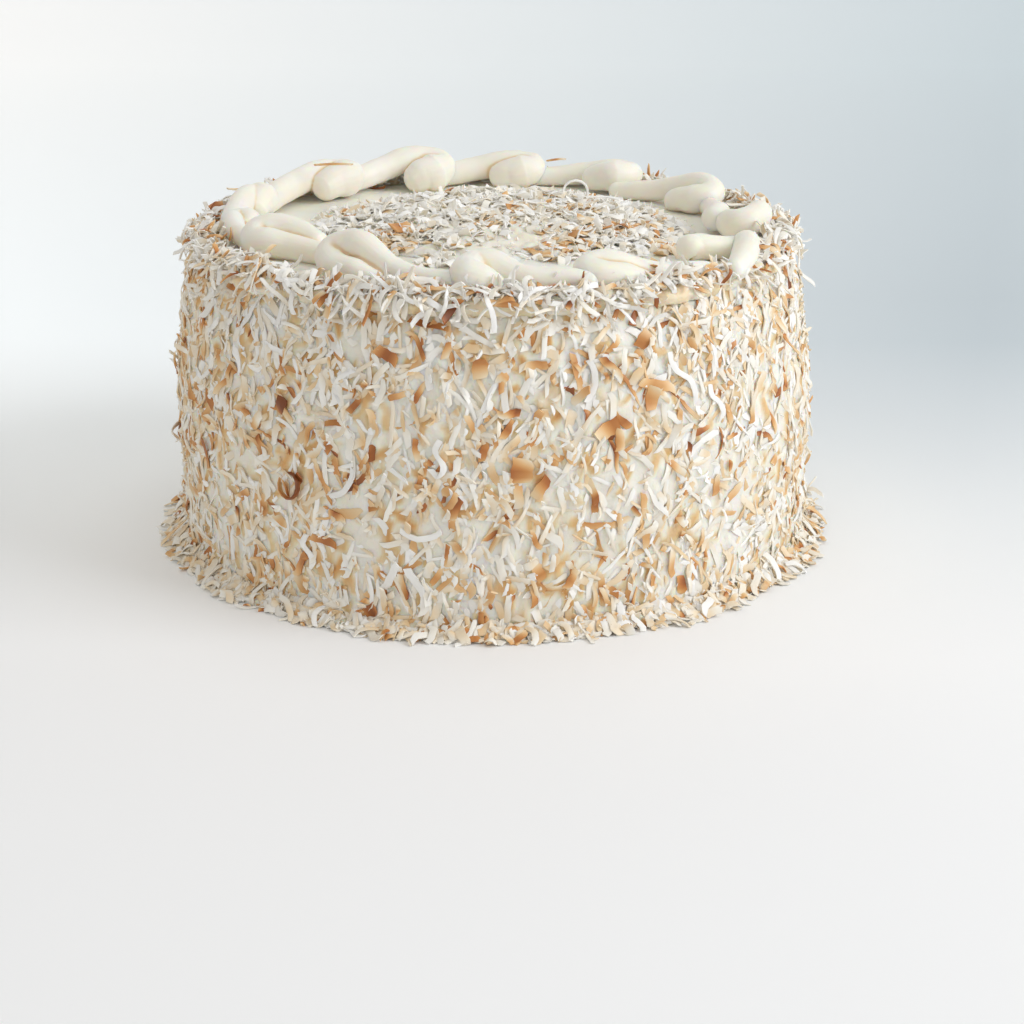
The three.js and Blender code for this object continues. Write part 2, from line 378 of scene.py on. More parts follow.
def modelFrostedTop(material):
    segments, rings, edge = frosted["topSegments"], frosted["topRings"], frosted["topRadius"]
    top = startRing("frosted_top", segments, 70, 93.0)
    line = [(70, 93.0), (edge - 1, 93.0), (edge, 93.6), (edge - 0.6, 94.5), (edge - 2, 95.0)]
    step = (edge - 2) / rings
    line += [(edge - 2 - step * ring, 95.0) for ring in range(1, rings)]
    extrudeRings(line)
    bpy.ops.mesh.merge(type="CENTER")
    sealMesh()
    selectRing(top, lambda co: abs(math.hypot(co.x, co.y) - 70 * mm) < 0.5 * mm and co.z < 93.5 * mm)
    bpy.ops.mesh.edge_face_add()
    sealMesh()
    refine(top, "CATMULL_CLARK")
    points = getPoints(top)
    x, y = points[:, 0] / mm, points[:, 1] / mm
    lifted = np.clip((points[:, 2] / mm - 94.2) / 0.8, 0, 1)
    wave = np.sin(0.09 * x + 1) * np.sin(0.11 * y + 0.4)
    strokes = np.sin(0.55 * y + 0.8 * np.sin(0.05 * x)) * np.clip(np.sin(0.07 * x - 0.05 * y), 0, 1)
    points[:, 2] += (frosted["topWave"] * wave + 0.16 * strokes) * lifted * mm
    setPoints(top, points)
    storeTint(top, np.zeros(len(points)))
    lumpy(top, "topMarks", 7, 0.6)
    finishPiece(top, material, ["frosted_cake"])
    print("frosted top modelled:", len(top.data.polygons), "faces")


def feed(tree, node, given):
    # a socket is linked to the input, anything else becomes its value
    for key, value in given.items():
        if isinstance(value, bpy.types.NodeSocket):
            tree.links.new(value, node.inputs[key])
        else:
            node.inputs[key].default_value = value


def addNode(tree, kind, given, **settings):
    node = tree.nodes.new("ShaderNode" + kind)
    for key, value in settings.items():
        setattr(node, key, value)
    feed(tree, node, given)
    return node.outputs


def makeGroup(name, inputs, outputs):
    group = bpy.data.node_groups.new(name, "ShaderNodeTree")
    for socketName, kind, value in inputs:
        socket = group.interface.new_socket(socketName, in_out="INPUT", socket_type="NodeSocket" + kind)
        socket.default_value = value
    for socketName, kind in outputs:
        group.interface.new_socket(socketName, in_out="OUTPUT", socket_type="NodeSocket" + kind)
    return group, group.nodes.new("NodeGroupInput").outputs, group.nodes.new("NodeGroupOutput")


def makeCreamGroup():
    # soft uneven tone and a fine matte grain of whipped frosting, multiplied by the pressed colour:
    # pressed-in coconut on the side, painted shade in the folds of the piping
    group, given, made = makeGroup(
        "creamSurface",
        [("Light Cream", "Color", (0.9, 0.85, 0.72, 1)), ("Deep Cream", "Color", (0.8, 0.7, 0.5, 1)),
         ("Grain", "Float", 900.0), ("Pressed Tint And Fold Shade", "Color", (1, 1, 1, 1))],
        [("Color", "Color"), ("Roughness", "Float"), ("Height", "Float")])
    place = addNode(group, "TexCoord", {})["Object"]
    patches = addNode(group, "TexNoise", {"Vector": place, "Scale": 55, "Detail": 3})["Fac"]
    grain = addNode(group, "TexNoise", {"Vector": place, "Scale": given["Grain"], "Detail": 2})
    spread = addNode(group, "MapRange", {"Value": patches, "From Min": 0.35, "From Max": 0.7})
    cream = addNode(group, "Mix", {"Factor": spread["Result"], "A": given["Light Cream"],
                                   "B": given["Deep Cream"]}, data_type="RGBA")
    creamTintedAndShaded = addNode(group, "Mix", {"Factor": 1, "A": cream["Result"], "B": given["Pressed Tint And Fold Shade"]},
                   data_type="RGBA", blend_type="MULTIPLY")
    sheen = addNode(group, "MapRange", {"Value": patches, "To Min": 0.38, "To Max": 0.6})
    feed(group, made, {"Color": creamTintedAndShaded["Result"], "Roughness": sheen["Result"], "Height": grain["Fac"]})
    return group


def makeToastGroup():
    # toast runs from raw white coconut, 0, to deep brown, 1; tone makes each shred its own
    group, given, made = makeGroup(
        "toastedCoconut", [("Toast", "Float", 0.0), ("Tone", "Float", 0.5)], [("Color", "Color")])
    ramp = group.nodes.new("ShaderNodeValToRGB")
    stops = ramp.color_ramp.elements
    stops.remove(stops[1])
    stops[0].color = paint(253, 252, 248)
    for place, colour in toastColours:
        stops.new(place).color = paint(*colour)
    feed(group, ramp, {"Fac": given["Toast"]})
    tone = addNode(group, "MapRange", {"Value": given["Tone"], "To Min": 0.88, "To Max": 1.02})
    shade = addNode(group, "VectorMath", {0: ramp.outputs["Color"], "Scale": tone["Result"]},
                    operation="SCALE")
    feed(group, made, {"Color": shade["Vector"]})
    return group


toastColours = [
    (0.1, (250, 245, 232)),
    (0.3, (238, 212, 170)),
    (0.46, (228, 180, 121)),
    (0.62, (207, 144, 80)),
    (0.8, (176, 105, 49)),
    (1.0, (128, 68, 28)),
]


def principled(name):
    material = bpy.data.materials.new(name)
    material.use_nodes = True
    return material, material.node_tree, material.node_tree.nodes["Principled BSDF"]


def creamMaterial(name, light, deep, softness, bumpDepth):
    material, tree, shader = principled(name)
    tint = addNode(tree, "Attribute", {}, attribute_name="tint")
    # the tint attribute carries pressed-in coconut colour on the frosting and painted shade in the
    # piping's folds
    pressedTintAndShade = addNode(tree, "Group", {"Toast": tint["Fac"], "Tone": 0.6}, node_tree=toastGroup)
    cream = addNode(tree, "Group", {"Light Cream": paint(*light), "Deep Cream": paint(*deep),
                                    "Grain": 1100, "Pressed Tint And Fold Shade": pressedTintAndShade["Color"]},
                    node_tree=creamGroup)
    bump = addNode(tree, "Bump", {"Strength": 0.35, "Distance": bumpDepth * mm,
                                  "Height": cream["Height"]})
    feed(tree, shader, {"Base Color": cream["Color"], "Roughness": cream["Roughness"],
                        "Normal": bump["Normal"], "Subsurface Weight": softness,
                        "Subsurface Radius": (1.0, 0.62, 0.3), "Subsurface Scale": 4 * mm})
    return material


def coconutMaterial(name, softness, roughness):
    material, tree, shader = principled(name)
    toastMap = addNode(tree, "UVMap", {}, uv_map="OFBake")
    split = addNode(tree, "SeparateXYZ", {"Vector": toastMap["UV"]})
    toast = addNode(tree, "Group", {"Toast": split["X"], "Tone": split["Y"]}, node_tree=toastGroup)
    feed(tree, shader, {"Base Color": toast["Color"], "Roughness": roughness,
                        "Subsurface Weight": softness, "Subsurface Radius": (1.0, 1.0, 0.9),
                        "Subsurface Scale": 0.5 * mm})
    return material


creamGroup = makeCreamGroup()
toastGroup = makeToastGroup()
frostingMaterial = creamMaterial("creamFrosting", (252, 247, 238), (249, 242, 227), 0.6, 0.3)
pipingMaterial = creamMaterial("pipedFrosting", (251, 249, 242), (248, 245, 233), 0.7, 0.12)
rawMaterial = coconutMaterial("rawCoconut", 0.25, 0.5)
sunkMaterial = coconutMaterial("smearedCoconut", 0.15, 0.6)
toastedMaterial = coconutMaterial("toastedCoconutFlake", 0.2, 0.45)
print("materials ready")

sideSkin = modelFrostedSide(frostingMaterial)
modelFrostedTop(frostingMaterial)


shredForm = {
    "step": 2.2,  # mm between the cuts along a shred
    "endShrink": 0.86,
    "edgeWave": 0.12,
    "slant": 0.5,  # mm by which the ends are cut askew
    "crown": 0.35,  # how far the middle stands above the edges, of the thickness
    "sharp": 50,  # degrees from which an edge stays sharp
}

# One of each is modelled and then strewn: length, width and thickness in mm; curl, sweep and
# twist in degrees; how far it snakes in mm.
ribbonForms = [
    (13, 1.9, 0.42, 25, 12, 20, 0.3), (10, 2.2, 0.45, -30, -15, -25, 0),
    (15, 1.6, 0.4, 18, 30, -30, -0.4), (8, 2.3, 0.45, 12, 5, 8, 0.1),
    (12, 1.4, 0.4, 40, -25, 35, 0.4), (16, 1.9, 0.42, -22, -45, 25, 0),
    (6, 2.1, 0.45, -10, 10, -12, 0.1), (14, 2.3, 0.4, 35, 22, -15, -0.5),
    (11, 1.6, 0.4, -18, 80, 15, 0), (9, 2.6, 0.38, 15, -12, 20, 0.5),
]
flakeForms = [
    (8, 2.5, 0.5, 35, 10, 12, 0.2), (7, 2.9, 0.5, -45, -12, 15, 0),
    (10, 2.1, 0.5, 70, 15, -20, 0.3), (12, 1.7, 0.5, 25, -30, 25, -0.3),
    (6, 2.3, 0.6, 15, 5, -10, 0), (9, 1.6, 0.5, 110, 8, 10, 0.2),
]
curlyForms = [
    (13, 2.0, 0.45, 110, 30, 60, 0.4), (12, 1.8, 0.45, -150, -40, -50, 0),
    (15, 1.9, 0.42, 60, 90, 80, -0.6), (10, 2.3, 0.45, 170, 10, 30, 0),
    (13, 1.6, 0.42, -60, 120, -70, 0), (10, 2.1, 0.45, 55, -50, 25, 0.6),
]
broadForms = [
    (8, 3.1, 0.38, 60, 15, 20, 0.3), (7, 3.5, 0.38, -80, -20, 25, 0),
    (9, 2.7, 0.38, 95, 30, -30, 0.4), (6, 2.9, 0.4, 30, 10, -15, 0),
]
crumbForms = [
    (3.4, 1.1, 0.4, 20, 10, 10, 0), (2.4, 1.4, 0.45, -15, -10, 15, 0),
    (4.4, 0.9, 0.35, 30, 40, -20, 0.1), (3.0, 1.7, 0.4, 10, -15, -10, 0),
]
# pieces that stand out and are placed one by one
placedForms = {
    "stick": (9, 2.3, 0.6, 15, 8, 8, 0.2),
    "chip": (7, 6.2, 0.55, 35, 6, 10, 0),
    "ring": (19, 1.8, 0.6, 290, 10, 10, 0),
    "arc": (13, 1.7, 0.45, 12, 95, 5, 0),
    "strand": (18, 1.8, 0.45, 12, 15, 12, 1.4),
}


def turnMesh(obj, degrees):
    selectOnly(obj)
    obj.rotation_euler = (math.radians(degrees), 0, 0)
    placeInMesh(obj)


def modelShred(form):
    length, width, thick, curl, sweep, twist, snake = form
    deselectAll()
    bpy.ops.mesh.primitive_cube_add(size=1)
    shred = bpy.context.object
    shred.dimensions = (length * mm, width * mm, thick * mm)
    placeInMesh(shred)
    mesh = shred.data
    edit()
    bpy.ops.mesh.select_mode(type="EDGE")
    for axis, cuts in ((0, max(2, round(length / shredForm["step"]))), (1, 1)):
        bpy.ops.mesh.select_all(action="DESELECT")
        edit("OBJECT")
        reach = (length, width)[axis] * mm
        for edge in mesh.edges:
            a, b = (mesh.vertices[i].co for i in edge.vertices)
            edge.select = abs(a[axis] - b[axis]) > 0.9 * reach
        edit()
        bpy.ops.mesh.subdivide(number_cuts=cuts)
    edit("OBJECT")
    points = getPoints(shred)
    along = points[:, 0] / (length * mm / 2)
    across = points[:, 1] / (width * mm / 2)
    narrow = 1 - (1 - shredForm["endShrink"]) * np.abs(along) ** 4
    wave = 1 + shredForm["edgeWave"] * np.sin(7 * along + length) * across
    crown = np.where(np.abs(across) < 0.1, shredForm["crown"], -shredForm["crown"])
    points[:, 0] += shredForm["slant"] * mm * across * along
    points[:, 1] = points[:, 1] * narrow * wave + snake * mm * np.sin(math.pi * along)
    points[:, 2] *= narrow * (1 + crown)
    setPoints(shred, points)
    applyModifier(shred, "SIMPLE_DEFORM", deform_method="TWIST", deform_axis="X",
                  angle=math.radians(twist))
    for angle, turn in ((curl, 90), (sweep, -90)):
        turnMesh(shred, turn)
        applyModifier(shred, "SIMPLE_DEFORM", deform_method="BEND", deform_axis="Z",
                      angle=math.radians(angle))
    points = getPoints(shred)
    points -= points.mean(axis=0)
    faces = np.array([list(face.vertices) for face in mesh.polygons])
    bpy.data.objects.remove(shred)
    return {"points": points, "faces": faces, "run": (along + 1) / 2, "side": np.round(across)}


ribbons = [modelShred(form) for form in ribbonForms]
flakes = [modelShred(form) for form in flakeForms]
curly = [modelShred(form) for form in curlyForms]
broad = [modelShred(form) for form in broadForms]
crumbs = [modelShred(form) for form in crumbForms]
placed = {key: modelShred(form) for key, form in placedForms.items()}
print("shred forms modelled:", len(ribbons + flakes + curly + broad + crumbs) + len(placed))


def swung(upright, sideways, angles):
    return upright * np.cos(angles)[:, None] + sideways * np.sin(angles)[:, None]


def upwards(count):
    return np.tile([0.0, 0.0, 1.0], (count, 1))


def turnAbout(vectors, axes, angles):
    # turns each vector about its own axis
    cos, sin = np.cos(angles)[:, None], np.sin(angles)[:, None]
    dots = np.sum(vectors * axes, axis=1, keepdims=True)
    return vectors * cos + np.cross(axes, vectors) * sin + axes * dots * (1 - cos)


def strew(name, forms, rng, places, along, outward, toast, scale, material, nodes=(), pick=None,
          settle=None):
    # joins one copy of a form for each place: along is its long axis, outward its flat side
    along = normalised(along)
    outward = normalised(outward - along * np.sum(outward * along, axis=1, keepdims=True))
    across = np.cross(outward, along)
    count = len(places)
    pick = rng.integers(0, len(forms), count) if pick is None else np.array(pick)
    flip = rng.choice([-1.0, 1.0], count)
    tone = rng.uniform(0.1, 0.9, count)
    blushAt, blushWide = rng.uniform(0, 1, count), rng.uniform(0.25, 0.7, count)
    edge = rng.normal(0, 0.14, count)
    allPoints, allFaces, allToast, allTone = [], [], [], []
    start = 0
    for index, form in enumerate(forms):
        chosen = np.flatnonzero(pick == index)
        p, run, side, faces = form["points"], form["run"], form["side"], form["faces"]
        size = scale[chosen]
        spots = (places[chosen, None, :]
                 + along[chosen, None, :] * (p[None, :, 0] * size[:, 0:1])[..., None]
                 + across[chosen, None, :] * (p[None, :, 1] * size[:, 1:2])[..., None]
                 + outward[chosen, None, :] * (p[None, :, 2] * flip[chosen, None])[..., None])
        if settle:
            spots = settle(spots)
        # a shred that would reach through the floor is raised onto it
        sunk = np.minimum(spots[:, :, 2].min(axis=1) - 0.05 * mm, 0)
        spots[:, :, 2] -= sunk[:, None]
        turned = np.where(flip[chosen, None, None] > 0, faces[None], faces[None, :, ::-1])
        offset = start + np.arange(len(chosen)) * len(p)
        allPoints.append(spots.reshape(-1, 3))
        allFaces.append((turned + offset[:, None, None]).reshape(-1, 4))
        blush = np.exp(-(((run[None] - blushAt[chosen, None]) / blushWide[chosen, None]) ** 2))
        brown = toast[chosen, None] * (0.35 + 0.75 * blush + edge[chosen, None] * side[None])
        allToast.append(brown.ravel())
        allTone.append((tone[chosen, None] + 0.06 * side[None] + 0.04 * run[None]).ravel())
        start += len(chosen) * len(p)
    points, faces = np.concatenate(allPoints), np.concatenate(allFaces)
    mesh = bpy.data.meshes.new(name)
    mesh.vertices.add(len(points))
    mesh.vertices.foreach_set("co", points.ravel())
    mesh.loops.add(faces.size)
    mesh.loops.foreach_set("vertex_index", faces.ravel())
    mesh.polygons.add(len(faces))
    mesh.polygons.foreach_set("loop_start", np.arange(len(faces)) * 4)
    mesh.update(calc_edges=True)
    uv = mesh.uv_layers.new(name="OFBake")
    pair = np.stack([np.concatenate(allToast), np.concatenate(allTone)], axis=1)
    uv.data.foreach_set("uv", np.clip(pair, 0.01, 0.99)[faces.ravel()].ravel())
    obj = bpy.data.objects.new(name, mesh)
    bpy.context.scene.collection.objects.link(obj)
    selectOnly(obj)
    bpy.ops.object.shade_smooth_by_angle(angle=math.radians(shredForm["sharp"]))
    finishPiece(obj, material, nodes, smooth=False)
    print(name + ":", count, "pieces,", 2 * len(faces), "triangles")


def strewLying(name, forms, rng, places, along, normal, tilt, roll, toast, longs, wides, material,
               **more):
    # strews shreds that lie on a surface and stand a little out of it; tilt and roll in degrees
    count = len(places)
    along = turnAbout(along, normalised(np.cross(normal, along)), np.radians(tilt))
    outward = turnAbout(normal, along, np.radians(rng.normal(0, roll, count)))
    shade = np.clip(rng.normal(*toast, count), 0.02, 0.97)
    scale = np.stack([rng.uniform(*longs, count), rng.uniform(*wides, count)], axis=1)
    strew(name, forms, rng, places, along, outward, shade, scale, material, **more)


def onSide(t, angle, lift):
    # places on the frosting's side, with the directions round, up and out there
    line, ahead = sideCurve(t), aheadOnSide(t)
    radius = line[:, 0] + frosted["wobble"] * uneven(angle, line[:, 1]) + lift * ahead[:, 1]
    places, around, out = roundTheMiddle(angle, radius, line[:, 1] - lift * ahead[:, 0])
    up = out * ahead[:, :1] + np.array([0, 0, 1]) * ahead[:, 1:]
    return places, around, up, outOfSide(ahead, angle)


coat = {
    "anyWay": 0.4,  # share of the shreds that lie in any direction
    "sway": 32,  # degrees that the others swing from upright
    "strayTilt": 26,
    "mostTilt": 38,
    "prop": 2.2,  # mm by which a tilted shred is lifted, for each radian
    "longs": (0.6, 1.1),
}


def coatSide(name, forms, seed, count, lift, lean, roll, stray, toast, wides, bare, material, nodes=()):
    # lift in mm over the frosting, its mean and spread; lean and roll in degrees; stray is the
    # share of loose shreds; toast its mean and spread; bare as in pressed
    rng = np.random.default_rng(seed)
    ts, length = sideLengths(400, 0.97)
    t = np.interp(rng.uniform(0, length[-1], 3 * count), length, ts)
    angle = rng.uniform(0, fullTurn, 3 * count)
    share = 1 - bare * (1 - patchy(angle, sideCurve(t)[:, 1]))
    if toast[0] > 0.4:
        share = share * browned(angle)
    kept = rng.random(3 * count) < share
    t, angle = t[kept][:count], angle[kept][:count]
    count = len(t)
    places, around, up, out = onSide(t, angle, rng.normal(*lift, count))
    loose = rng.random(count) < stray
    swing = np.where(rng.random(count) < coat["anyWay"], rng.uniform(-90, 90, count),
                     rng.normal(0, coat["sway"], count))
    tilt = np.where(loose, rng.normal(0, coat["strayTilt"], count), rng.normal(0, lean, count))
    tilt = np.clip(tilt, -coat["mostTilt"], coat["mostTilt"])
    places += out * (np.abs(np.radians(tilt)) * coat["prop"] * mm)[:, None]
    strewLying(name, forms, rng, places, swung(up, around, np.radians(swing)), out, tilt, roll, toast,
               coat["longs"], wides, material, nodes=nodes, settle=settleOnSide)


coatSide("side_sunk_shreds", ribbons, 11, 1400, (-0.2, 0.09), 2, 6, 0.0, (0.24, 0.2),
         (0.8, 1.3), 0.5, sunkMaterial)
coatSide("side_raw_shreds", ribbons, 12, 1200, (0.04, 0.15), 4, 12, 0.06, (0.14, 0.06),
         (0.6, 1.05), 0.95, rawMaterial, nodes=["coconut_coat"])
coatSide("side_sunk_fibres", ribbons, 17, 1600, (-0.1, 0.1), 3, 10, 0.0, (0.17, 0.12),
         (0.4, 0.75), 0.3, sunkMaterial)
coatSide("side_toasted_flakes", flakes + ribbons[:3], 13, 960, (-0.06, 0.14), 4, 12, 0.04, (0.5, 0.17),
         (0.6, 1.2), 0.5, toastedMaterial)
coatSide("side_coconut_crumbs", crumbs, 14, 1400, (0.12, 0.14), 10, 18, 0.08, (0.2, 0.2),
         (0.7, 1.2), 0.8, rawMaterial)

# Toasted pieces and long white ones that catch the eye: form, heading, height, swing from upright
# to the right, toast, and what differs from long 1, wide 1, lift 0.7 and roll 0. Angles in
# degrees, height and lift in mm; long and wide are shares of the form's size.
standOuts = [
    ("ring", -124, 39, 60, 0.95, {"lift": 1.4, "roll": 80}),
    ("chip", -85, 49, 5, 0.66, {}),
    ("chip", -82, 44, 37, 0.78, {"wide": 0.5}),
    ("stick", -122.7, 15.6, 30, 0.66, {}),
    ("stick", -70, 76, -40, 0.66, {}),
    ("stick", -62, 70, -72, 0.52, {"long": 1.3, "wide": 1.2}),
    ("chip", -63, 66.5, 10, 0.55, {"wide": 0.6}),
    ("chip", -71, 59, 60, 0.68, {"long": 1.1, "wide": 0.7}),
    ("stick", -69, 56, 5, 0.45, {"long": 0.7, "wide": 1.1}),
    ("stick", -87, 65, 88, 0.85, {"long": 0.7}),
    ("stick", -95.5, 38, 28, 0.82, {"long": 0.75}),
    ("stick", -118, 24.6, -82, 0.72, {"long": 0.95}),
    ("chip", -126.5, 62, 20, 1.1, {"long": 0.7, "wide": 0.6}),
    ("stick", -150, 78, 25, 0.7, {}),
    ("chip", -91.6, 77.5, 0, 0.66, {"long": 0.8, "wide": 0.7}),
    ("stick", -107, 80, -60, 0.78, {"long": 0.8, "wide": 1.3}),
    ("chip", -64, 83, 40, 0.65, {"long": 0.8, "wide": 0.6}),
    ("stick", -49.7, 37, 8, 0.55, {"long": 0.7}),
    ("stick", -77, 16.5, 35, 0.6, {"long": 0.7}),
    ("stick", -104, 14, -12, 0.66, {"long": 0.9, "wide": 0.8}),
    ("chip", -110, 5, 50, 0.85, {"long": 0.9, "wide": 0.6}),
    ("stick", -41, 57, 10, 0.5, {}),
    ("arc", -73.5, 73, 5, 0.02, {"lift": 1.0}),
    ("strand", -57, 71, -28, 0.02, {"lift": 1.0}),
    ("arc", -101, 30, 88, 0.02, {"lift": 0.9}),
    ("strand", -50, 62, -14, 0.02, {"long": 0.7, "lift": 0.8}),
    ("strand", -98, 52, 4, 0.02, {"long": 0.6, "lift": 0.8}),
    ("arc", -114, 42, 40, 0.02, {"lift": 0.9}),
    ("strand", -121, 20, -4, 0.02, {"long": 0.6, "lift": 0.8}),
    ("stick", -106, 17, 30, 0.02, {"lift": 0.9}),
    ("stick", -102, 16, -32, 0.02, {"lift": 0.9}),
]


def extra(rows, key, usual=1):
    return np.array([row[-1].get(key, usual) for row in rows], float)


def strewPlaced(name, rows, seed, places, along, outward, settle=None):
    scale = np.stack([extra(rows, "long"), extra(rows, "wide")], axis=1)
    pick = [list(placed).index(row[0]) for row in rows]
    strew(name, list(placed.values()), np.random.default_rng(seed), places, along, outward,
          np.array([row[-2] for row in rows]), scale, toastedMaterial, pick=pick, settle=settle)


def placeOnSide(name, rows, seed):
    bearing, height, swing = np.array([row[1:4] for row in rows], float).T
    t = atHeight(height, 400)
    places, around, up, out = onSide(t, np.radians(bearing), extra(rows, "lift", 0.7))
    along = swung(up, around, np.radians(swing))
    outward = turnAbout(out, along, np.radians(extra(rows, "roll", 0)))
    strewPlaced(name, rows, seed, places, along, outward, settleOnSide)


placeOnSide("side_standing_out", standOuts, 15)


# Coconut lies so thick on the rim and in the skirt that a lumpy bed of it shows between the
# shreds. The beds are turned about the middle; radius and height in mm.
beds = {
    "coconut_rim_bed": [(90.0, 93.0), (90.4, 95.6), (92.2, 96.6), (94.0, 95.6), (94.8, 93.6),
                        (94.0, 91.4), (91.0, 90.0)],
    "coconut_skirt_bed": [(99.4, 0.1), (99.6, 4.2), (101.6, 3.2), (103.6, 2.0), (105.2, 1.0),
                          (106.2, 0.1)],
}


def modelBed(name, line):
    bed = startRing(name, 240, *line[0])
    extrudeRings(line + line[:1])
    sealMesh()
    refine(bed)
    points = getPoints(bed)
    angle = np.arctan2(points[:, 1], points[:, 0])
    out = np.clip(np.hypot(points[:, 0], points[:, 1]) / mm - line[0][0], 0, 4) / 4
    swell = 1 + 0.01 * out * clumps(angle, 0)
    points[:, :2] *= swell[:, None]
    setPoints(bed, points)
    storeTint(bed, 0.16 + 0.14 * clumps(3 * angle, points[:, 2] / mm))
    lumpy(bed, name + "Lumps", 3.4, 2.6)
    points = getPoints(bed)
    points[:, 2] = np.maximum(points[:, 2], 0)
    setPoints(bed, points)
    finishPiece(bed, frostingMaterial, ["coconut_coat"])


for bedName, bedLine in beds.items():
    modelBed(bedName, bedLine)
print("coconut beds modelled")

# how the shreds lie in the ring at the top edge and in the skirt; mm and degrees
rim = {
    "radius": (91.8, 2.7),  # mean and spread
    "most": 96.5,  # radius
    "crest": (97.2, 0.9),  # height, mean and spread
    "droop": (26, 16),  # slope, mean and spread
    "tilt": 17,
    "roll": 26,
    "longs": (0.6, 1.1),
    "wides": (0.5, 0.85),
}
skirt = {"wall": 101.5, "edge": 108.5, "heap": 4.2, "tilt": 7, "roll": 14, "wides": (0.7, 1.1)}


def strewRing(name, forms, rng, angle, radius, height, fall, lie, toast, longs, material):
    # shreds in any direction on a ring that falls away outwards
    places, around, out = roundTheMiddle(angle, radius, height)
    zenith = upwards(len(angle))
    along = normalised(swung(around, swung(out, -zenith, fall), rng.uniform(0, math.pi, len(angle))))
    strewLying(name, forms, rng, places, along, swung(zenith, out, fall),
               rng.normal(0, lie["tilt"], len(angle)), lie["roll"], toast, longs, lie["wides"], material)


def scatterRim(name, forms, seed, count, toast, material):
    # a bushy ring of shreds that leans against the outside of the piped border
    rng = np.random.default_rng(seed)
    angle = rng.uniform(0, fullTurn, count)
    radius = np.minimum(rng.normal(*rim["radius"], count), rim["most"])
    crest = rim["crest"][0] + 1.6 * clumps(angle, 0) - 0.16 * np.maximum(radius - 92, 0) ** 2
    height = crest + rng.normal(0, rim["crest"][1], count)
    droop = rng.normal(*rim["droop"], count) + 10 * np.maximum(radius - 93, 0)
    strewRing(name, forms, rng, angle, radius, height, np.radians(droop), rim, toast, rim["longs"],
              material)


def scatterSkirt(name, forms, seed, count, toast, longs, material):
    # shreds heaped against the foot, thinning out to the edge
    rng = np.random.default_rng(seed)
    angle = rng.uniform(0, fullTurn, count)
    reach = rng.beta(1.1, 1.9, count)
    edge = skirt["edge"] + 1.6 * clumps(angle, 0) - skirt["wall"]
    height = (skirt["heap"] * (1 - reach) ** 1.8 + 0.5) * rng.uniform(0.5, 1.05, count)
    slope = np.arctan(skirt["heap"] * 1.8 * (1 - reach) ** 0.8 / edge)
    strewRing(name, forms, rng, angle, skirt["wall"] + reach * edge, height, slope, skirt, toast, longs,
              material)


scatterRim("rim_raw_shreds", curly * 2 + ribbons[:4], 21, 1200, (0.08, 0.05), rawMaterial)
scatterRim("rim_toasted_flakes", flakes + curly[:2], 22, 460, (0.54, 0.18), toastedMaterial)
# the raw shreds in the skirt are a light tan: partly the coconut's own colour, partly a painted warm
# reflection and shade at the foot
scatterSkirt("skirt_raw_shreds", broad + ribbons[3:], 31, 1650, (0.2, 0.1), (0.4, 0.75), rawMaterial)
scatterSkirt("skirt_toasted_flakes", flakes + crumbs, 32, 620, (0.5, 0.18), (0.4, 0.65), toastedMaterial)

heapForm = {
    "middle": (2, 6),
    "radius": 60.0,
    "height": 4.4,
    "coreRadius": 50.0,
    "coreRise": 4.7,
    "thinFront": 0.75,  # share of the shreds that is missing at the front edge
    "groupSpread": 4.5,  # mm round the middle of a group of toasted pieces
    "grouped": 0.7,
    "lumps": 1.6,  # mm by which shreds heap up into lumps
    "tilt": 6,  # degrees
    "roll": 11,
    "looseShare": 0.1,  # of the shreds that stand up
    "looseTilt": 30,
}
# where toasted coconut lies together on the heap, x and y in mm
toastedGroups = [(-27, -20), (-32, -27), (7, 7), (1, -9), (21, -24), (19, -34), (31, 11), (52, -27),
                 (-12, 46), (40, -9), (-45, 20), (30, 40)]


def modelHeapCore():
    reach, (middleX, middleY) = heapForm["coreRadius"], heapForm["middle"]
    core = startRing("coconut_heap_core", 96, reach, cakeTop / mm - 0.6, heapForm["middle"])
    bpy.ops.mesh.edge_face_add()
    bpy.ops.mesh.extrude_region_move(TRANSFORM_OT_translate={"value": (0, 0, 0.8 * mm)})
    rings = 14
    for ring in range(1, rings):
        bpy.ops.mesh.inset(thickness=reach / rings * mm, depth=0)
    bpy.ops.mesh.poke()
    edit("OBJECT")
    refine(core)
    points = getPoints(core)
    fromMiddle = np.hypot(points[:, 0] - middleX * mm, points[:, 1] - middleY * mm) / mm
    rise = np.clip(1 - fromMiddle / reach, 0, 1)
    lifted = points[:, 2] > cakeTop
    points[:, 2] += np.where(lifted, heapForm["coreRise"] * np.minimum(1, 2.5 * rise) * mm, 0)
    setPoints(core, points)
    storeTint(core, 0.12 * rise)
    lumpy(core, "heapLumps", 5, 3.2)
    finishPiece(core, frostingMaterial, ["coconut_mound"])


